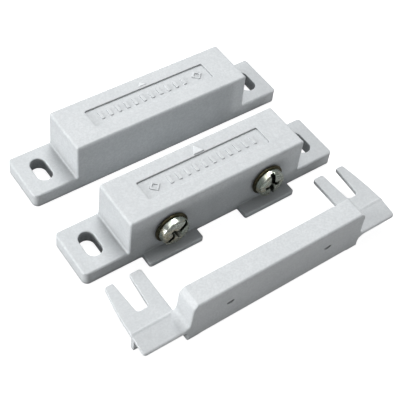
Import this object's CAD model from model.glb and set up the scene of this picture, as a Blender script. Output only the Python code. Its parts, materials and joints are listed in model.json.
"""A magnetic reed switch: a switch unit with two screw terminals, a cover that slides over
them, and a separate magnet unit.

x runs along the units (left is -x), the terminals are at the front (-y) and z is up. The
switch unit stands on z = 0, centred on the origin. Shapes are distance functions in
millimetres, negative inside; they become meshes in metres. The stage is in metres.
"""
import json
import math

import bmesh
import bpy
import numpy as np
from mathutils import Matrix, Vector


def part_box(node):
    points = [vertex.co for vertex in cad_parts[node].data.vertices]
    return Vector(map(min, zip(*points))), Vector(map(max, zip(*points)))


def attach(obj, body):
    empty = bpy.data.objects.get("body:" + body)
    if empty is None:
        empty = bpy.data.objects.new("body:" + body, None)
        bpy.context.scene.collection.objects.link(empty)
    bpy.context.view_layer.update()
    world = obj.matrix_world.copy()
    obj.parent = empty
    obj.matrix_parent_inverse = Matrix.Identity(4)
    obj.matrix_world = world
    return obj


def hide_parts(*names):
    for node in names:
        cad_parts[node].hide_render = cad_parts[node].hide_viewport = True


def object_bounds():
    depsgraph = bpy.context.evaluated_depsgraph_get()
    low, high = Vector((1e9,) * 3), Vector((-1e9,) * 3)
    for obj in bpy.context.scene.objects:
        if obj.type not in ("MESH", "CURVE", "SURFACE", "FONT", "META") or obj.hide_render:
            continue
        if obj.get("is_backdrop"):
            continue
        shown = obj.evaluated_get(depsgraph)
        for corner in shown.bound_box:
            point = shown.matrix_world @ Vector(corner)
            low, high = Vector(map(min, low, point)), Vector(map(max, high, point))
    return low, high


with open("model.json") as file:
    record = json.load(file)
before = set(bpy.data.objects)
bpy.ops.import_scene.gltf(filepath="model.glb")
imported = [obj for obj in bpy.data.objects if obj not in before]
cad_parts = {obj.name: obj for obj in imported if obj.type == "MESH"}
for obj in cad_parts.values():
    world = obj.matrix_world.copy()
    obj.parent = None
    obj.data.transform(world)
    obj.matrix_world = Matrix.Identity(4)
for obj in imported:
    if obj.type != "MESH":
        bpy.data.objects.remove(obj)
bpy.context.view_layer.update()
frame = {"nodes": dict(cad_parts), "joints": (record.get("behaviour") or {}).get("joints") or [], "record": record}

JOINTS = {joint["name"]: joint for joint in frame["joints"]}
MOUNTS = {mount["name"]: mount for mount in frame["record"]["mounts"]}


def mm(metres):
    return np.array(metres, float) * 1000.0


def cad_box(node):
    low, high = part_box(node)
    return mm(low), mm(high)


# ---------------------------------------------------------------- distance functions
def intersect(first, second, radius):
    """Intersection whose outer edge is rounded."""
    u, v = np.maximum(first + radius, 0), np.maximum(second + radius, 0)
    return np.minimum(np.maximum(first, second), -radius) + np.sqrt(u * u + v * v)


def unite(first, second, radius):
    """Union whose inner corner is filled by a fillet."""
    u, v = np.maximum(radius - first, 0), np.maximum(radius - second, 0)
    return np.maximum(np.minimum(first, second), radius) - np.sqrt(u * u + v * v)


def cut(body, tool, radius):
    """Body minus tool, with the rim rounded."""
    return intersect(body, -tool, radius)


def rounded_rectangle(x, y, half_x, half_y, radius):
    over_x, over_y = np.abs(x) - half_x + radius, np.abs(y) - half_y + radius
    return (
        np.minimum(np.maximum(over_x, over_y), 0)
        + np.hypot(np.maximum(over_x, 0), np.maximum(over_y, 0))
        - radius
    )


def capsule_y(x, y, half, radius):
    return np.hypot(x, np.maximum(np.abs(y) - half, 0)) - radius


def polygon(x, y, points):
    nearest = np.full(np.broadcast(x, y).shape, 1e18)
    sign = np.ones(nearest.shape)
    points = np.asarray(points, float)
    for i in range(len(points)):
        start, end = points[i], points[i - 1]
        edge_x, edge_y = end - start
        from_x, from_y = x - start[0], y - start[1]
        share = (from_x * edge_x + from_y * edge_y) / (edge_x * edge_x + edge_y * edge_y)
        share = np.clip(share, 0, 1)
        gap = (from_x - edge_x * share) ** 2 + (from_y - edge_y * share) ** 2
        nearest = np.minimum(nearest, gap)
        # an edge that passes the point on one side flips inside and outside
        above, below = (y >= start[1]), (y < end[1])
        beside = edge_x * from_y > edge_y * from_x
        sign = np.where((above == below) & (below == beside), -sign, sign)
    return sign * np.sqrt(nearest)


def arc(x, y, radius, start, end, steps):
    """Points on an arc about (x, y), from start to end in degrees."""
    angles = np.radians(np.linspace(start, end, steps + 1))
    return [(x + radius * math.cos(a), y + radius * math.sin(a)) for a in angles]


# ---------------------------------------------------------------- meshing
def axis(low, high, coarse, *zones):
    """Grid positions from low to high, finer inside each (from, to, step) zone."""
    positions, here = [low], low
    zones = sorted(zones)
    while here < high - 1e-9:
        step = coarse
        for start, end, fine in zones:
            if start - 1e-9 <= here < end - 1e-9:
                step = min(step, fine)
            elif here < start:
                step = min(step, max(start - here, fine * 0.6))
        here += step
        positions.append(here)
    return np.array(positions)


def mirrored(*zones):
    """The zones, and the same on the negative side."""
    return [*zones, *((-end, -start, step) for start, end, step in zones)]


def surface(shape, grid):
    """Dual mesh of shape = 0 on an (xs, ys, zs) grid: points and outward-facing quads."""
    xs, ys, zs = grid
    values = shape(xs[:, None, None], ys[None, :, None], zs[None, None, :])
    values = np.ascontiguousarray(np.broadcast_to(values, (len(xs), len(ys), len(zs))))
    inside = values < 0
    cells = [len(positions) - 1 for positions in grid]
    count = np.zeros(cells, np.int8)
    for i, j, k in np.ndindex(2, 2, 2):
        count += inside[i : cells[0] + i, j : cells[1] + j, k : cells[2] + k]
    active = (count > 0) & (count < 8)
    size = int(active.sum())
    index = np.full(cells, -1, np.int64)
    index[active] = np.arange(size)
    # each point is the mean of the crossings on the grid edges round its cell
    total, weight, quads = np.zeros((size, 3)), np.zeros(size), []
    for along in range(3):
        lower, upper = [slice(None)] * 3, [slice(None)] * 3
        lower[along], upper[along] = slice(0, -1), slice(1, None)
        near, far = values[tuple(lower)], values[tuple(upper)]
        crossed = (near < 0) != (far < 0)
        cell = np.argwhere(crossed)
        near, far = near[crossed], far[crossed]
        share = near / (near - far)
        points = np.stack([grid[k][cell[:, k]] for k in range(3)], 1)
        line, at = grid[along], cell[:, along]
        points[:, along] = line[at] + share * (line[at + 1] - line[at])
        corners = []
        for first, second in ((-1, -1), (0, -1), (0, 0), (-1, 0)):
            corner = cell.copy()
            corner[:, (along + 1) % 3] += first
            corner[:, (along + 2) % 3] += second
            corners.append(index[corner[:, 0], corner[:, 1], corner[:, 2]])
        quad = np.stack(corners, 1)
        for k in range(4):
            weight += np.bincount(quad[:, k], minlength=size)
            for i in range(3):
                total[:, i] += np.bincount(quad[:, k], weights=points[:, i], minlength=size)
        flip = near >= 0
        quad[flip] = quad[flip][:, ::-1]
        quads.append(quad)
    return total / weight[:, None], np.concatenate(quads)


def gradient(shape, points):
    step = 2e-3
    slopes = np.empty_like(points)
    for i in range(3):
        high, low = points.copy(), points.copy()
        high[:, i] += step
        low[:, i] -= step
        slopes[:, i] = shape(*high.T) - shape(*low.T)
    return slopes / (2 * step)


def settle(shape, points):
    """Move the points onto shape = 0 in two limited steps."""
    reach = 0.12
    for _ in range(2):
        distance = shape(*points.T)
        slopes = gradient(shape, points)
        steepness = np.maximum((slopes * slopes).sum(1), 0.05)
        points = points - np.clip(distance / steepness, -reach, reach)[:, None] * slopes
    return points


def relax(points, quads):
    """Move each point half-way to the mean of its neighbours."""
    size = len(points)
    total, count = np.zeros_like(points), np.zeros(size)
    for k in range(4):
        start, end = quads[:, k], quads[:, (k + 1) % 4]
        count += np.bincount(start, minlength=size) + np.bincount(end, minlength=size)
        for i in range(3):
            total[:, i] += np.bincount(start, weights=points[end, i], minlength=size)
            total[:, i] += np.bincount(end, weights=points[start, i], minlength=size)
    return points + 0.5 * (total / count[:, None] - points)


def linked(name, data):
    obj = bpy.data.objects.new(name, data)
    bpy.context.scene.collection.objects.link(obj)
    return obj


def moulded(name, shape, grid, offset=(0, 0, 0), passes=2, spin=0.0):
    """Mesh of the body shape < 0, with shading normals from the shape itself.

    spin turns the finished body about its y axis, in radians."""
    points, quads = surface(shape, grid)
    points = settle(shape, points)
    for _ in range(passes):
        points = settle(shape, relax(points, quads))
    normals = gradient(shape, points)
    normals /= np.maximum(np.linalg.norm(normals, axis=1), 1e-9)[:, None]
    if spin:
        cosine, sine = math.cos(spin), math.sin(spin)
        turn = np.array([[cosine, 0, -sine], [0, 1, 0], [sine, 0, cosine]])
        points, normals = points @ turn, normals @ turn
    points = (points + np.array(offset, float)) / 1000.0
    mesh = bpy.data.meshes.new(name)
    mesh.vertices.add(len(points))
    mesh.vertices.foreach_set("co", points.astype(np.float32).ravel())
    mesh.loops.add(len(quads) * 4)
    mesh.loops.foreach_set("vertex_index", quads.astype(np.int32).ravel())
    mesh.polygons.add(len(quads))
    mesh.polygons.foreach_set("loop_start", np.arange(0, len(quads) * 4, 4, dtype=np.int32))
    mesh.polygons.foreach_set("use_smooth", np.ones(len(quads), bool))
    mesh.update(calc_edges=True)
    mesh.validate()
    mesh.normals_split_custom_set_from_vertices([tuple(normal) for normal in normals])
    return linked(name, mesh)


def turned(name, profile, centre, segments):
    """Ring about the y direction from a closed profile of (radius, y)."""
    along = Vector((0, 1, 0))
    side = along.orthogonal().normalized()
    other = along.cross(side)
    verts, faces = [], []
    for ring, (radius, y) in enumerate(profile):
        start, following = ring * segments, (ring + 1) % len(profile) * segments
        for k in range(segments):
            angle = 2 * math.pi * k / segments
            across = side * (radius * math.cos(angle)) + other * (radius * math.sin(angle))
            verts.append((Vector(centre) + along * y + across) / 1000.0)
            after = (k + 1) % segments
            faces.append((start + k, start + after, following + after, following + k))
    mesh = bpy.data.meshes.new(name)
    mesh.from_pydata(verts, [], faces)
    mesh.validate()
    work = bmesh.new()
    work.from_mesh(mesh)
    bmesh.ops.recalc_face_normals(work, faces=work.faces)
    if work.calc_volume(signed=True) < 0:
        bmesh.ops.reverse_faces(work, faces=work.faces)
    work.to_mesh(mesh)
    work.free()
    for face in mesh.polygons:
        face.use_smooth = True
    mesh.set_sharp_from_angle(angle=math.radians(35))
    return linked(name, mesh)


# ---------------------------------------------------------------- material building
class Shader:
    """A node material round one Principled shader. A source is a (node, output) pair."""

    def __init__(self, name):
        self.material = bpy.data.materials.new(name)
        self.material.use_nodes = True
        self.tree = self.material.node_tree
        self.tree.nodes.clear()
        self.output = self.add("ShaderNodeOutputMaterial")
        self.bsdf = self.add("ShaderNodeBsdfPrincipled")
        self.feed(self.output, "Surface", (self.bsdf, "BSDF"))
        self.place = (self.add("ShaderNodeTexCoord"), "Object")

    def add(self, kind, inputs=None, **properties):
        node = self.tree.nodes.new(kind)
        for name, value in properties.items():
            setattr(node, name, value)
        for name, value in (inputs or {}).items():
            self.feed(node, name, value)
        return node

    def feed(self, node, name, value):
        """Give an input a source, or a number, vector or colour."""
        socket = node.inputs[name]
        if isinstance(value, tuple) and len(value) == 2:
            self.tree.links.new(value[0].outputs[value[1]], socket)
        else:
            socket.default_value = (*value, 1.0) if socket.type == "RGBA" else value

    def look(self, **inputs):
        """Feed the Principled shader; underscores stand for spaces."""
        for name, value in inputs.items():
            self.feed(self.bsdf, name.replace("_", " "), value)

    def noise(self, scale, detail, rough, stretch=None, distortion=0.0):
        node = self.add("ShaderNodeTexNoise", {
            "Scale": scale, "Detail": detail, "Roughness": rough, "Distortion": distortion,
        })
        source = self.place
        if stretch:
            inputs = {"Scale": stretch, "Vector": source}
            source = (self.add("ShaderNodeMapping", inputs), "Vector")
        self.feed(node, "Vector", source)
        return (node, "Fac")

    def voronoi(self, scale):
        inputs = {"Scale": scale, "Vector": self.place}
        return (self.add("ShaderNodeTexVoronoi", inputs), "Distance")

    def ramp(self, source, span, to=(0.0, 1.0)):
        """Map the span of the source's values to another span."""
        return (self.add("ShaderNodeMapRange", {
            "From Min": span[0], "From Max": span[1],
            "To Min": to[0], "To Max": to[1], "Value": source,
        }), "Result")

    def math(self, operation, first, second):
        node = self.add("ShaderNodeMath", {0: first, 1: second}, operation=operation)
        return (node, "Value")

    def mix(self, factor, first, second):
        # inputs 6 and 7 and output 2 are the colour sockets
        inputs = {0: factor, 6: first, 7: second}
        return (self.add("ShaderNodeMix", inputs, data_type="RGBA"), 2)

    def tint(self, base, mask, amount, colour):
        """Mix colour into base where the mask is, by at most amount."""
        return self.mix(self.math("MULTIPLY", mask, amount), base, colour)

    def bump(self, height, strength, distance, below=None):
        inputs = {"Strength": strength, "Distance": distance, "Height": height}
        if below:
            inputs["Normal"] = below
        return (self.add("ShaderNodeBump", inputs), "Normal")

    def shade(self, base, dark, distance, gain, power=None):
        """Darken towards dark in corners and holes of the piece itself."""
        node = self.add(
            "ShaderNodeAmbientOcclusion", {"Distance": distance}, samples=8, only_local=True
        )
        hidden = self.math("SUBTRACT", 1.0, (node, "AO"))
        if power:
            hidden = self.math("POWER", hidden, power)
        hidden = self.math("MINIMUM", self.math("MULTIPLY", hidden, gain), 1.0)
        return self.mix(hidden, base, dark)

    def upward(self, vector):
        """The z part of a vector source."""
        return (self.add("ShaderNodeSeparateXYZ", {"Vector": vector}), "Z")

    def geometry(self, output):
        return (self.add("ShaderNodeNewGeometry"), output)


def scaled(colour, factor):
    return tuple(channel * factor for channel in colour)


# ---------------------------------------------------------------- materials
def moulded_plastic(name, light, dark, broad_scale=170.0):
    """Light grey ABS: flow mottling, spark texture, rubbed edges, dust in the corners."""
    mat = Shader(name)
    broad = mat.noise(scale=broad_scale, detail=3.0, rough=0.6, distortion=0.6)
    fine = mat.noise(scale=900.0, detail=5.0, rough=0.65)
    base = mat.mix(mat.ramp(broad, span=(0.35, 0.68)), dark, light)
    speck = mat.ramp(mat.voronoi(scale=1500.0), span=(0.0, 0.22), to=(1.0, 0.0))
    base = mat.tint(base, speck, amount=0.16, colour=scaled(dark, 0.78))
    pale = mat.ramp(fine, span=(0.42, 0.62))
    base = mat.tint(base, pale, amount=0.5, colour=scaled(light, 1.07))
    grain = mat.ramp(mat.noise(scale=2300.0, detail=2.0, rough=0.65), span=(0.37, 0.63))
    base = mat.tint(base, grain, amount=0.5, colour=scaled(dark, 0.86))
    edge = mat.ramp(mat.geometry("Pointiness"), span=(0.505, 0.60))
    base = mat.tint(base, edge, amount=0.14, colour=scaled(light, 1.12))
    hollow = mat.ramp(mat.geometry("Pointiness"), span=(0.495, 0.42))
    base = mat.tint(base, hollow, amount=0.22, colour=scaled(dark, 0.72))
    # rubbed raised mark on top
    mark = mat.ramp(mat.upward(mat.place), span=(0.01243, 0.01252))
    base = mat.tint(base, mark, amount=0.55, colour=scaled(light, 1.3))
    base = mat.shade(base, scaled(dark, 0.2), distance=0.0068, gain=2.5, power=2.3)
    foot = mat.ramp(mat.upward(mat.place), span=(0.0001, 0.0008), to=(1.0, 0.0))
    base = mat.tint(base, foot, amount=0.55, colour=scaled(dark, 0.30))
    # the low flat tops are a little more worn and grey than the rest
    flat = mat.ramp(mat.upward(mat.geometry("Normal")), span=(0.75, 0.97))
    low = mat.ramp(mat.upward(mat.place), span=(0.0048, 0.0062), to=(1.0, 0.0))
    base = mat.tint(base, mat.math("MULTIPLY", flat, low), 0.25, scaled(dark, 0.72))
    roughness = mat.ramp(fine, span=(0.3, 0.7), to=(0.46, 0.62))
    texture = mat.noise(scale=4200.0, detail=2.0, rough=0.5)
    texture = mat.bump(texture, strength=0.22, distance=0.00004)
    waves = mat.noise(scale=420.0, detail=2.0, rough=0.5)
    waves = mat.bump(waves, strength=0.2, distance=0.00012, below=texture)
    mat.look(
        Base_Color=base, Roughness=roughness, Normal=waves, IOR=1.52, Specular_IOR_Level=0.4
    )
    return mat.material


def plated(name, colour, tint, patch_tint, rough):
    """Zinc-plated steel with an uneven passivation tint."""
    mat = Shader(name)
    broad = mat.noise(scale=420.0, detail=3.0, rough=0.6, distortion=0.8)
    patch = mat.noise(scale=300.0, detail=2.0, rough=0.5, distortion=1.5)
    base = mat.mix(mat.ramp(broad, span=(0.36, 0.66)), colour, tint)
    base = mat.tint(base, mat.ramp(patch, span=(0.52, 0.66)), amount=0.55, colour=patch_tint)
    base = mat.shade(base, (0.012, 0.012, 0.010), distance=0.0016, gain=1.5)
    roughness = mat.noise(scale=1500.0, detail=4.0, rough=0.6)
    roughness = mat.ramp(roughness, span=(0.3, 0.7), to=rough)
    dents = mat.noise(scale=1800.0, detail=3.0, rough=0.6)
    dents = mat.bump(dents, strength=0.12, distance=0.00005)
    mat.look(Base_Color=base, Roughness=roughness, Metallic=1.0, Normal=dents)
    return mat.material


def bare_metal(name, colour, dark, rough):
    """Mottled metal with fine marks drawn out by an uneven scale."""
    mat = Shader(name)
    mottle = mat.noise(scale=600.0, detail=4.0, rough=0.6)
    base = mat.mix(mat.ramp(mottle, span=(0.35, 0.7)), colour, dark)
    roughness = mat.noise(scale=1400.0, detail=3.0, rough=0.5)
    roughness = mat.ramp(roughness, span=(0.3, 0.7), to=rough)
    marks = mat.noise(scale=2500.0, detail=2.0, rough=0.5, stretch=(1, 8, 1))
    marks = mat.bump(marks, strength=0.08, distance=0.00004)
    mat.look(Base_Color=base, Roughness=roughness, Metallic=1.0, Normal=marks)
    return mat.material


def glass(name):
    mat = Shader(name)
    cloud = mat.ramp(mat.noise(scale=240.0, detail=2.0, rough=0.5), span=(0.3, 0.7))
    base = mat.mix(cloud, (0.84, 0.94, 0.88), (0.90, 0.97, 0.93))
    roughness = mat.noise(scale=900.0, detail=2.0, rough=0.5)
    roughness = mat.ramp(roughness, span=(0.3, 0.7), to=(0.01, 0.05))
    mat.look(
        Base_Color=base, Roughness=roughness, Metallic=0.0, IOR=1.5, Transmission_Weight=0.97
    )
    return mat.material


def resin(name):
    """Near-black potting resin with soft waves and a fine grain."""
    mat = Shader(name)
    cloud = mat.ramp(mat.noise(scale=260.0, detail=4.0, rough=0.6), span=(0.3, 0.7))
    base = mat.mix(cloud, (0.018, 0.018, 0.020), (0.035, 0.034, 0.036))
    roughness = mat.noise(scale=420.0, detail=3.0, rough=0.5)
    roughness = mat.ramp(roughness, span=(0.3, 0.7), to=(0.22, 0.42))
    waves = mat.noise(scale=180.0, detail=1.0, rough=0.4)
    waves = mat.bump(waves, strength=0.35, distance=0.0003)
    grain = mat.bump(mat.voronoi(scale=900.0), strength=0.08, distance=0.00008, below=waves)
    mat.look(Base_Color=base, Roughness=roughness, Normal=grain)
    return mat.material


HOUSING = moulded_plastic(
    "housing_abs", light=(0.69, 0.716, 0.732), dark=(0.63, 0.659, 0.677)
)
COVER = moulded_plastic(
    "cover_abs", light=(0.72, 0.746, 0.762), dark=(0.66, 0.689, 0.707), broad_scale=193.0
)
SCREW = plated(
    "zinc_screw", colour=(0.64, 0.67, 0.61), tint=(0.52, 0.59, 0.50),
    patch_tint=(0.78, 0.66, 0.44), rough=(0.17, 0.34),
)
WASHER = plated(
    "zinc_yellow_washer", colour=(0.13, 0.115, 0.065), tint=(0.075, 0.064, 0.034),
    patch_tint=(0.055, 0.065, 0.048), rough=(0.26, 0.44),
)
# colour, darker colour, roughness range
BRASS, TIN, REED, SOLDER, ALNICO = (
    bare_metal(name, colour, dark, rough)
    for name, colour, dark, rough in (
        ("turned_brass", (0.66, 0.50, 0.22), (0.52, 0.38, 0.16), (0.22, 0.4)),
        ("tinned_brass", (0.68, 0.68, 0.66), (0.58, 0.58, 0.56), (0.25, 0.45)),
        ("reed_alloy", (0.56, 0.55, 0.52), (0.46, 0.45, 0.42), (0.2, 0.35)),
        ("solder", (0.72, 0.72, 0.72), (0.60, 0.60, 0.60), (0.12, 0.3)),
        ("magnet_alloy", (0.24, 0.24, 0.245), (0.17, 0.17, 0.175), (0.35, 0.6)),
    )
)
GLASS = glass("reed_glass")
RESIN = resin("potting_resin")


def set_material(obj, material):
    obj.data.materials.clear()
    obj.data.materials.append(material)


def finish_piece(obj, material, body, node):
    set_material(obj, material)
    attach(obj, body)
    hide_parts(node)


# ---------------------------------------------------------------- housings
SWITCH_LOW, SWITCH_HIGH = cad_box("switch_housing")
MAGNET_LOW, MAGNET_HIGH = cad_box("magnet_housing")
MAGNET_CENTRE = (MAGNET_LOW + MAGNET_HIGH) / 2
HALF_LENGTH = (MAGNET_HIGH[0] - MAGNET_LOW[0]) / 2   # over the ears
HALF_WIDTH = (MAGNET_HIGH[1] - MAGNET_LOW[1]) / 2    # at the base
BODY_HEIGHT = 12.4
TOP = float(mm(MOUNTS["switch_base"]["pos_m"])[2]) + BODY_HEIGHT
EAR_TOP = float(mm(MOUNTS["switch_ear_left_top"]["pos_m"])[2])
DRAFT = 0.2 / BODY_HEIGHT
BODY_HALF_LENGTH = 21.8
SLOT_X, SLOT_Y = 27.0, 0.15
PANEL_HALF_X, PANEL_HALF_Y, PANEL_Y, PANEL_DEPTH = 15.1, 2.4, 0.15, 0.35
BAR_COUNT, BAR_PITCH, BAR_START = 11, 2.1, -12.4
LOZENGE_X, LOZENGE_HALF, LOZENGE_LINE = 12.2, 1.3, 0.42
RELIEF = 0.2                                         # height of the bars and lozenge

POTTING = cad_box("switch_potting")[1]
CAVITY_X, CAVITY_Y, CAVITY_TOP = POTTING[0] + 0.08, POTTING[1] + 0.08, 10.9
RIB_HALF = 0.6                                       # half thickness of the inner ribs
RIB_FIT = 0.14                                       # gap round the held piece

LEDGE_X, LEDGE_Y, LEDGE_HALF_X, LEDGE_TOP = 12.05, -6.15, 6.6, 1.3
TERMINAL = mm(JOINTS["screw_right_turn"]["pos_m"])
INSERT_LOW, INSERT_HIGH = cad_box("terminal_insert_left")
SEAT_RADIUS = (INSERT_HIGH[0] - INSERT_LOW[0]) / 2 + 0.08
TUBE_LOW, TUBE_HIGH = cad_box("reed_glass_tube")
TUBE_CENTRE = (TUBE_LOW + TUBE_HIGH) / 2
BAR_MAGNET_LOW, BAR_MAGNET_HIGH = cad_box("bar_magnet")
BAR_MAGNET_HALF = (BAR_MAGNET_HIGH[1] - BAR_MAGNET_LOW[1]) / 2

# raised triangles on top
SWITCH_ARROW = dict(
    x=0.35, base_y=2.82, tip_y=4.96, half_base=1.29, rise=SWITCH_HIGH[2] - TOP - 0.01
)
MAGNET_ARROW = dict(
    x=-0.19, base_y=3.12, tip_y=4.26, half_base=0.96, rise=MAGNET_HIGH[2] - TOP - 0.005
)


def arrow_shape(across, y, z, x, base_y, tip_y, half_base, rise):
    points = [(x - half_base, base_y), (x + half_base, base_y), (x, tip_y)]
    triangle = polygon(across, y, points) - 0.02
    return intersect(np.maximum(triangle, TOP - 0.5 - z), z - (TOP + rise), 0.1)


def panel_relief(x, y, z, floor):
    """Row of plain bars, and one lozenge outline at the +x end."""
    k = np.clip(np.round((x - BAR_START) / BAR_PITCH), 0, BAR_COUNT - 1)
    bars = rounded_rectangle(x - BAR_START - k * BAR_PITCH, y - PANEL_Y, 0.4, 1.1, 0.18)
    lozenge = (np.abs(x - LOZENGE_X) + np.abs(y - PANEL_Y) - LOZENGE_HALF) * 0.7071
    lozenge = np.maximum(lozenge, -(lozenge + LOZENGE_LINE))
    relief = intersect(np.minimum(bars, lozenge), z - (floor + RELIEF), 0.08)
    return np.maximum(relief, floor - 0.4 - z)


def blank(x, y, z, arrow, lozenge_side):
    """Housing shape of both units; lozenge_side is the sign of x at the lozenge."""
    from_middle = np.abs(x)
    inset = DRAFT * z
    body = intersect(from_middle - (BODY_HALF_LENGTH + 0.05 - inset), z - TOP, 0.5)
    ear = intersect(from_middle - (HALF_LENGTH - inset), z - EAR_TOP, 0.55)
    out = intersect(unite(body, ear, 0.45), np.abs(y) - (HALF_WIDTH - inset), 0.5)
    outline = rounded_rectangle(x, y, HALF_LENGTH - inset, HALF_WIDTH - inset, 1.3)
    out = intersect(np.maximum(out, outline), -z, 0.12)
    # cavity, open below
    cavity = rounded_rectangle(x, y, CAVITY_X, CAVITY_Y, 0.4)
    out = cut(out, intersect(cavity, z - CAVITY_TOP, 0.3), 0.1)
    # mounting slots
    out = cut(out, capsule_y(from_middle - SLOT_X, y - SLOT_Y, 1.4, 1.75), 0.22)
    # sunk panel
    floor = TOP - PANEL_DEPTH
    panel = rounded_rectangle(x, y - PANEL_Y, PANEL_HALF_X, PANEL_HALF_Y, 0.35)
    out = cut(out, intersect(panel, floor - z, 0.08), 0.12)
    out = unite(out, panel_relief(x * lozenge_side, y, z, floor), 0.05)
    return unite(out, arrow_shape(x, y, z, **arrow), 0.06)


def switch_shape(x, y, z):
    out = blank(x, y, z, SWITCH_ARROW, -1)
    # terminal ledges
    ledge = rounded_rectangle(
        np.abs(x) - LEDGE_X, y - LEDGE_Y, LEDGE_HALF_X, LEDGE_Y - SWITCH_LOW[1], 0.55
    )
    ledge = intersect(intersect(ledge, z - LEDGE_TOP, 0.28), -z, 0.1)
    out = unite(out, np.maximum(ledge, y + 5.2), 0.22)
    out = np.maximum(out, -z)
    # round seats of the threaded inserts
    reach = np.hypot(np.abs(x) - TERMINAL[0], z - TERMINAL[2])
    out = cut(out, np.maximum(reach - SEAT_RADIUS, y + 3.0), 0.1)
    # saddle ribs that steady the glass tube, open below it
    rib = np.maximum(np.abs(np.abs(x) - 4.6) - RIB_HALF, np.abs(y - 2.35) - 2.55)
    rib = np.maximum(rib, np.maximum(5.2 - z, z - CAVITY_TOP - 0.3))
    radius = TUBE_HIGH[1] - TUBE_CENTRE[1] + RIB_FIT
    gap = np.where(
        z > TUBE_CENTRE[2],
        np.hypot(y - TUBE_CENTRE[1], z - TUBE_CENTRE[2]) - radius,
        np.abs(y - TUBE_CENTRE[1]) - radius,
    )
    return np.minimum(out, np.maximum(rib, -gap))


def magnet_shape(x, y, z):
    out = blank(x, y, z, MAGNET_ARROW, 1)
    # ribs in front of and behind the bar magnet
    rib = np.abs(np.abs(x) - 9.0) - RIB_HALF
    rib = np.maximum(rib, BAR_MAGNET_HALF + RIB_FIT - np.abs(y))
    rib = np.maximum(rib, np.abs(y) - CAVITY_Y - 0.3)
    rib = np.maximum(rib, np.maximum(3.3 - z, z - CAVITY_TOP - 0.3))
    return np.minimum(out, rib)


# fine grid zones: from, to, step
X_ZONES = mirrored(
    (0.0, 15.5, 0.2), (14.9, 15.4, 0.12), (20.1, 20.6, 0.2), (21.1, 22.6, 0.13),
    (25.0, 29.0, 0.2), (31.0, 32.2, 0.13),
)
Y_ZONES = mirrored((5.5, 6.5, 0.13), (2.1, 2.8, 0.14), (0, 2.2, 0.22), (3.0, 4.8, 0.22))
Z_ZONES = [(-0.2, 0.4, 0.12), (1.0, 1.6, 0.14), (2.7, 4.1, 0.13), (11.7, 12.9, 0.09)]
HOUSING_XS = axis(-HALF_LENGTH - 0.3, HALF_LENGTH + 0.3, 0.5, *X_ZONES)
GRID_TOP = SWITCH_HIGH[2] + 0.25
SWITCH_GRID = (
    HOUSING_XS,
    axis(SWITCH_LOW[1] - 0.3, HALF_WIDTH + 0.3, 0.3, *Y_ZONES, (-9.5, -8.4, 0.14)),
    axis(-0.3, GRID_TOP, 0.42, *Z_ZONES, (4.1, 9.3, 0.3)),
)
MAGNET_GRID = (
    HOUSING_XS,
    axis(-HALF_WIDTH - 0.3, HALF_WIDTH + 0.3, 0.3, *Y_ZONES),
    axis(-0.3, GRID_TOP, 0.5, *Z_ZONES),
)

switch_shell = moulded("switch_housing_shell", switch_shape, SWITCH_GRID)
finish_piece(switch_shell, HOUSING, "switch_unit", "switch_housing")
magnet_shell = moulded(
    "magnet_housing_shell", magnet_shape, MAGNET_GRID,
    offset=(MAGNET_CENTRE[0], MAGNET_CENTRE[1], 0),
)
finish_piece(magnet_shell, HOUSING, "magnet_unit", "magnet_housing")

# ---------------------------------------------------------------- terminal cover
# drawn as seated on the switch, then moved along y to its place at rest
COVER_LOW, COVER_HIGH = cad_box("terminal_cover")
COVER_END, COVER_TOP = COVER_HIGH[0], COVER_HIGH[2]
COVER_FRONT = -11.0
COVER_BACK = CREASE = -6.2                  # the flange meets the fork at the crease
END_HALF, HOLLOW_HALF = 21.65, 20.45        # half lengths outside and inside, at z = 0
HOLLOW_FRONT, HOLLOW_TOP = -9.8, 10.3
END_SLOPE = 0.55 / 11.2
END_COSINE = math.cos(math.atan(END_SLOPE))
FLANGE_TOP, FLANGE_FALL, FLANGE_THICK = 4.45, 0.62 / 4.35, 0.8
FORK_LOW, FORK_HIGH = 3.42, 4.45
FORK_SLOT_X, FORK_SLOT_END, FORK_CORNER = 26.65, -2.8, 0.8
SLOT_HALF, MOUTH_HALF = 1.35, 1.82          # half widths at the slot's end and mouth
INNER_TIP, OUTER_TIP = 5.3, 5.15            # y of the two prongs' tips
TIP_ROUND, MOUTH_ROUND = 0.7, 0.45
PIN_X, PIN_Z, PIN_HALF_X, PIN_HALF_Z = 12.2, 5.9, 0.84, 0.50

# right-hand outlines in x and y
FORK = [
    (21.95, CREASE - 0.4), (COVER_END, CREASE - 0.4), (COVER_END - 0.2, -2.6),
    (COVER_END - 0.6, 1.0), (30.55, OUTER_TIP - 0.8),
    *arc(29.85, OUTER_TIP - TIP_ROUND, TIP_ROUND, 0, 90, 6),
    *arc(FORK_SLOT_X + MOUTH_HALF + MOUTH_ROUND, OUTER_TIP - MOUTH_ROUND,
         MOUTH_ROUND, 90, 180, 5),
    *arc(FORK_SLOT_X + SLOT_HALF - FORK_CORNER, FORK_SLOT_END + FORK_CORNER,
         FORK_CORNER, 360, 270, 8),
    *arc(FORK_SLOT_X - SLOT_HALF + FORK_CORNER, FORK_SLOT_END + FORK_CORNER,
         FORK_CORNER, 270, 180, 8),
    *arc(FORK_SLOT_X - MOUTH_HALF - MOUTH_ROUND, INNER_TIP - MOUTH_ROUND,
         MOUTH_ROUND, 0, 90, 5),
    *arc(22.08 + TIP_ROUND, INNER_TIP - TIP_ROUND, TIP_ROUND, 90, 180, 6),
]
FLANGE = [
    (18.8, CREASE + 0.5), (18.8, -11.35),
    *arc(COVER_END - 1.2, -10.15, 1.2, 270, 360, 8), (COVER_END, CREASE + 0.5),
]
TIE = [(21.98, -6.9), (COVER_END - 0.12, -6.9), (COVER_END - 0.12, -5.6), (21.98, -5.6)]


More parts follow.
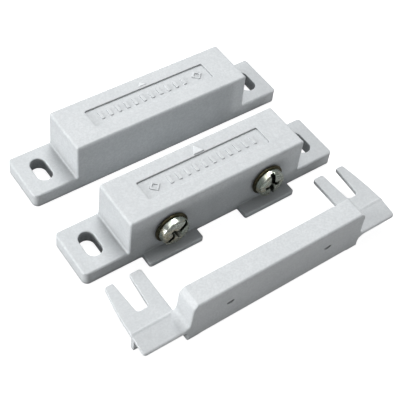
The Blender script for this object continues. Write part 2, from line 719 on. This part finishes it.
def cover_shape(x, y, z):
    from_middle = np.abs(x)
    ends = (from_middle - (END_HALF - END_SLOPE * z)) * END_COSINE
    front = COVER_FRONT - y
    top = z - COVER_TOP
    back = y - (COVER_BACK + DRAFT * z)
    capped = intersect(ends, top, 1.5)
    box = intersect(capped, -z, 0.12)
    # flange in front of each ear, falling forwards, with a wide fillet up to the end wall
    fall = (y - CREASE) * FLANGE_FALL
    level = z - (FLANGE_TOP - FLANGE_THICK / 2 + fall)
    section = unite(capped, np.abs(level) * 0.99 - FLANGE_THICK / 2, 1.75)
    wing = intersect(section, polygon(from_middle, y, FLANGE), 0.24)
    wing = intersect(wing, -z, 0.12)
    # cross rib under the flange
    rib = np.maximum(from_middle - (COVER_END - 0.1), 20.7 - from_middle)
    rib = np.maximum(rib, np.abs(y + 6.85) - 0.5)
    rib = np.maximum(intersect(rib, -z, 0.12), z - 3.3)
    out = unite(box, np.minimum(wing, rib), 0.3)
    out = np.maximum(intersect(out, front, 0.42), intersect(front, top, 0.5))
    out = intersect(intersect(out, back, 0.12), -z, 0.06)
    # fork that lies on the ear
    thick = np.abs(z - (FORK_LOW + FORK_HIGH) / 2) - (FORK_HIGH - FORK_LOW) / 2
    fork = intersect(polygon(from_middle, y, FORK), thick, 0.24)
    fork = intersect(fork, z - (FLANGE_TOP + fall), 0.05)
    tie = np.maximum(polygon(from_middle, y, TIE), np.abs(z - 3.8) - 0.25)
    out = unite(out, np.minimum(fork, tie), 0.2)
    # hollow, open at the back and below
    hollow = (from_middle - (HOLLOW_HALF - END_SLOPE * z)) * END_COSINE
    hollow = intersect(intersect(hollow, HOLLOW_FRONT - y, 0.4), z - HOLLOW_TOP, 0.5)
    out = cut(out, np.maximum(hollow, from_middle - 21.9), 0.14)
    # ejector-pin marks on the front face
    for pin_x in (-PIN_X, PIN_X):
        reach = np.sqrt(((x - pin_x) / PIN_HALF_X) ** 2 + ((z - PIN_Z) / PIN_HALF_Z) ** 2)
        mark = np.maximum((reach - 1.0) * 0.5, y - (COVER_FRONT + 0.38))
        out = cut(out, mark, 0.16)
    return out


COVER_X_ZONES = mirrored(
    (20.0, 23.4, 0.15), (23.4, 25.8, 0.16), (27.3, 31.9, 0.15), (18.9, 20.2, 0.25),
    (25.8, 27.3, 0.2), (11.3, 13.1, 0.12),
)
COVER_Y_ZONES = [
    (-11.3, -9.7, 0.13), (-7.6, -5.8, 0.12), (-3.2, -1.7, 0.14), (4.2, 5.5, 0.14)
]
COVER_Z_ZONES = [(-0.2, 0.3, 0.12), (2.7, 4.7, 0.1), (4.7, 6.6, 0.14), (9.4, 11.4, 0.13)]
COVER_GRID = (
    axis(-COVER_END - 0.35, COVER_END + 0.35, 0.6, *COVER_X_ZONES),
    axis(-11.35, 5.65, 0.32, *COVER_Y_ZONES),
    axis(-0.3, 11.5, 0.38, *COVER_Z_ZONES),
)
cover = moulded(
    "terminal_cover_shell", cover_shape, COVER_GRID, offset=(0, COVER_LOW[1] - COVER_FRONT, 0)
)
finish_piece(cover, COVER, "cover", "terminal_cover")

# ---------------------------------------------------------------- screws and washers
SCREW_TURN = {"left": -40, "right": -95}    # degrees about y
HEAD_DEPTH, DOME_RISE = 1.85, 0.16
DRIVE_HALF = 0.52                           # half width of the slot and cross
SLOT_DEPTH, CROSS_DEPTH, CROSS_REACH, CROSS_CORE = 0.95, 1.45, 1.85, 1.1
THREAD_PITCH, THREAD_ROOT, THREAD_HEIGHT = 0.794, 1.33, 0.40
SCREW_STEP = 0.08                           # grid step
BORE, WASHER_EDGE = 1.9, 0.09


def build_screw(side, low, high, centre):
    """Domed head at the front with a slot and tapered cross, threaded shank behind."""
    radius = (high[0] - low[0]) / 2
    top, end = low[1], high[1]
    under = top + HEAD_DEPTH
    turn = math.radians(SCREW_TURN[side])
    dome_radius = (radius * radius + DOME_RISE ** 2) / (2 * DOME_RISE)

    def shape(x, y, z):
        # x runs along the slot and z across it
        reach = np.hypot(x, z)
        dome = np.sqrt(reach * reach + (y - top - dome_radius) ** 2) - dome_radius
        wall = reach - (radius - 0.005) + np.maximum(under - y, 0) * 0.05
        head = intersect(intersect(wall, dome, 0.5), y - under, 0.12)
        slot = np.maximum(np.abs(z) - DRIVE_HALF, y - (top + SLOT_DEPTH))
        taper = (y - top) * 0.22

        def wing(along, across):
            return np.maximum(
                np.abs(across) - DRIVE_HALF + taper * 0.5,
                np.abs(along) - CROSS_REACH + taper * 2.2,
            )

        core = reach - CROSS_CORE + taper * 1.6
        cross = np.minimum(np.minimum(wing(x, z), wing(z, x)), core)
        cross = np.maximum(cross, y - (top + CROSS_DEPTH))
        head = cut(head, np.minimum(slot, cross), 0.07)
        # the turn is taken off here so that the spin does not move the thread
        angle = (np.arctan2(z, x) - turn) / (2 * math.pi)
        phase = np.mod(y / THREAD_PITCH + angle, 1.0)
        wave = np.abs(phase - 0.5) * 2
        thread = THREAD_ROOT + THREAD_HEIGHT * np.clip(1.25 * (1 - wave) - 0.08, 0, 1)
        thread = np.where(y > under + 0.5, thread, np.minimum(thread, 1.5))
        shank = (reach - thread) * 0.62
        shank = np.maximum(shank, y - end + np.maximum(reach - 1.25, 0) * 1.0)
        shank = np.maximum(shank, under - 0.3 - y)
        return unite(head, shank, 0.08)

    half = SCREW_STEP / 2 + SCREW_STEP * math.ceil((radius + 0.15) / SCREW_STEP)
    across = np.linspace(-half, half, int(round(2 * half / SCREW_STEP)) + 1)
    along = axis(top - 0.2, end + 0.2, 0.10, (top - 0.2, under + 0.2, SCREW_STEP))
    return moulded(
        f"terminal_screw_{side}_machined", shape, (across, along, across),
        offset=centre, passes=1, spin=turn,
    )


def build_washer(side, low, high, centre):
    """Flat ring with bevelled edges, centred on the screw."""
    rim = (high[0] - low[0]) / 2
    front, back, edge = low[1], high[1], WASHER_EDGE
    profile = [
        (BORE + edge, front), (rim - edge, front), (rim - edge * 0.3, front + edge * 0.3),
        (rim, front + edge), (rim, back - edge), (rim - edge * 0.3, back - edge * 0.3),
        (rim - edge, back), (BORE + edge, back), (BORE, back - edge), (BORE, front + edge),
    ]
    return turned(f"terminal_washer_{side}_ring", profile, centre, segments=96)


for side in ("left", "right"):
    node = f"terminal_screw_{side}"
    low, high = cad_box(node)
    centre = ((low[0] + high[0]) / 2, 0, (low[2] + high[2]) / 2)
    screw = build_screw(side, low, high, centre)
    finish_piece(screw, SCREW, f"screw_{side}", node)
    node = f"terminal_washer_{side}"
    washer = build_washer(side, *cad_box(node), centre)
    finish_piece(washer, WASHER, f"washer_{side}", node)

# ---------------------------------------------------------------- CAD pieces kept as they are
for node, material in {
    "switch_potting": RESIN, "magnet_potting": RESIN, "bar_magnet": ALNICO,
    "reed_glass_tube": GLASS,
    "terminal_insert_left": BRASS, "terminal_insert_right": BRASS,
    "terminal_tag_left": TIN, "terminal_tag_right": TIN,
    "reed_lead_left": REED, "reed_lead_right": REED,
    "reed_blade_left": REED, "reed_blade_right": REED,
    "solder_joint_left": SOLDER, "solder_joint_right": SOLDER,
}.items():
    set_material(frame["nodes"][node], material)

# ---------------------------------------------------------------- floor and world
FLOOR_HALF, FLOOR_DROP = 1.6, 0.00002
FLOOR_GLOW = 0.92                           # seen by the camera only
WORLD_LIGHT, WORLD_SEEN = 0.25, 1.0         # strength as light, and as seen by the camera


def floor_paper():
    """Matt grey paper that looks near white to the camera."""
    mat = Shader("floor_paper")
    cloud = mat.ramp(mat.noise(scale=6.0, detail=2.0, rough=0.5), span=(0.3, 0.7))
    paper = mat.mix(cloud, (0.37, 0.37, 0.37), (0.39, 0.39, 0.39))
    mat.look(Base_Color=paper, Roughness=0.95, Specular_IOR_Level=0.0)
    glow = mat.add("ShaderNodeEmission", {"Color": (1, 1, 1)})
    seen = (mat.add("ShaderNodeLightPath"), "Is Camera Ray")
    mat.feed(glow, "Strength", mat.math("MULTIPLY", seen, FLOOR_GLOW))
    total = mat.add("ShaderNodeAddShader", {0: (mat.bsdf, "BSDF"), 1: (glow, "Emission")})
    mat.feed(mat.output, "Surface", (total, "Shader"))
    return mat.material


floor_mesh = bpy.data.meshes.new("floor")
corners = [(i * FLOOR_HALF, j * FLOOR_HALF, 0) for i, j in ((-1, -1), (1, -1), (1, 1), (-1, 1))]
floor_mesh.from_pydata(corners, [], [(0, 1, 2, 3)])
floor = linked("floor", floor_mesh)
floor.location.z = -FLOOR_DROP
floor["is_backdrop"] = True
floor.data.materials.append(floor_paper())

scene = bpy.context.scene
world = bpy.data.worlds.new("studio")
scene.world = world
world.use_nodes = True
tree = world.node_tree
background = tree.nodes["Background"]
background.inputs["Color"].default_value = (1.0, 1.0, 1.0, 1)
seen = tree.nodes.new("ShaderNodeLightPath")
strength = tree.nodes.new("ShaderNodeMapRange")
strength.inputs["To Min"].default_value = WORLD_LIGHT
strength.inputs["To Max"].default_value = WORLD_SEEN
tree.links.new(seen.outputs["Is Camera Ray"], strength.inputs["Value"])
tree.links.new(strength.outputs["Result"], background.inputs["Strength"])


# ---------------------------------------------------------------- lights and camera
def area(name, location, aim_z, size, power):
    """Round area light aimed at a point on the z axis."""
    light = bpy.data.lights.new(name, "AREA")
    light.shape = "DISK"
    light.size = size
    light.energy = power
    obj = bpy.data.objects.new(name, light)
    obj.location = location
    obj.rotation_mode = "QUATERNION"
    direction = Vector((0, 0, aim_z)) - Vector(location)
    obj.rotation_quaternion = direction.to_track_quat("-Z", "Y")
    scene.collection.objects.link(obj)
    return obj


area("key", (0.20, 0.48, 0.84), aim_z=0, size=0.60, power=7.7)
area("side", (-0.90, 0.27, 0.17), aim_z=0.005, size=0.30, power=7.0)
# seen only in shiny surfaces, as a reflector behind the set
sheen = area("strip", (-0.34, 0.35, 0.84), aim_z=0.005, size=1.6, power=3.2)
sheen.data.shape = "RECTANGLE"
sheen.data.size_y = 0.36
sheen.visible_diffuse = False
area("front", (0.14, -0.55, 0.052), aim_z=0.01, size=0.10, power=0.37)

# the camera's own axes in the scene
CAMERA_RIGHT = (0.8153728575, -0.5711193069, 0.0948147698)
CAMERA_UP = (0.4004217661, 0.6746217482, 0.6201192676)
CAMERA_BACK = (-0.4181261921, -0.4676625216, 0.7787568641)
CAMERA_PLACE = (-0.0794839, -0.0890421, 0.1481933)

camera = linked("camera", bpy.data.cameras.new("camera"))
camera.data.sensor_width = 36.0
camera.data.lens = 79.63425
camera.data.clip_start = 0.01
camera.data.clip_end = 10.0
rotation = Matrix((CAMERA_RIGHT, CAMERA_UP, CAMERA_BACK)).transposed()
camera.matrix_world = Matrix.Translation(Vector(CAMERA_PLACE)) @ rotation.to_4x4()
scene.camera = camera

scene.view_settings.view_transform = "Standard"
scene.view_settings.look = "None"
scene.view_settings.exposure = 0.0
scene.view_settings.gamma = 1.0

low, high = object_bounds()
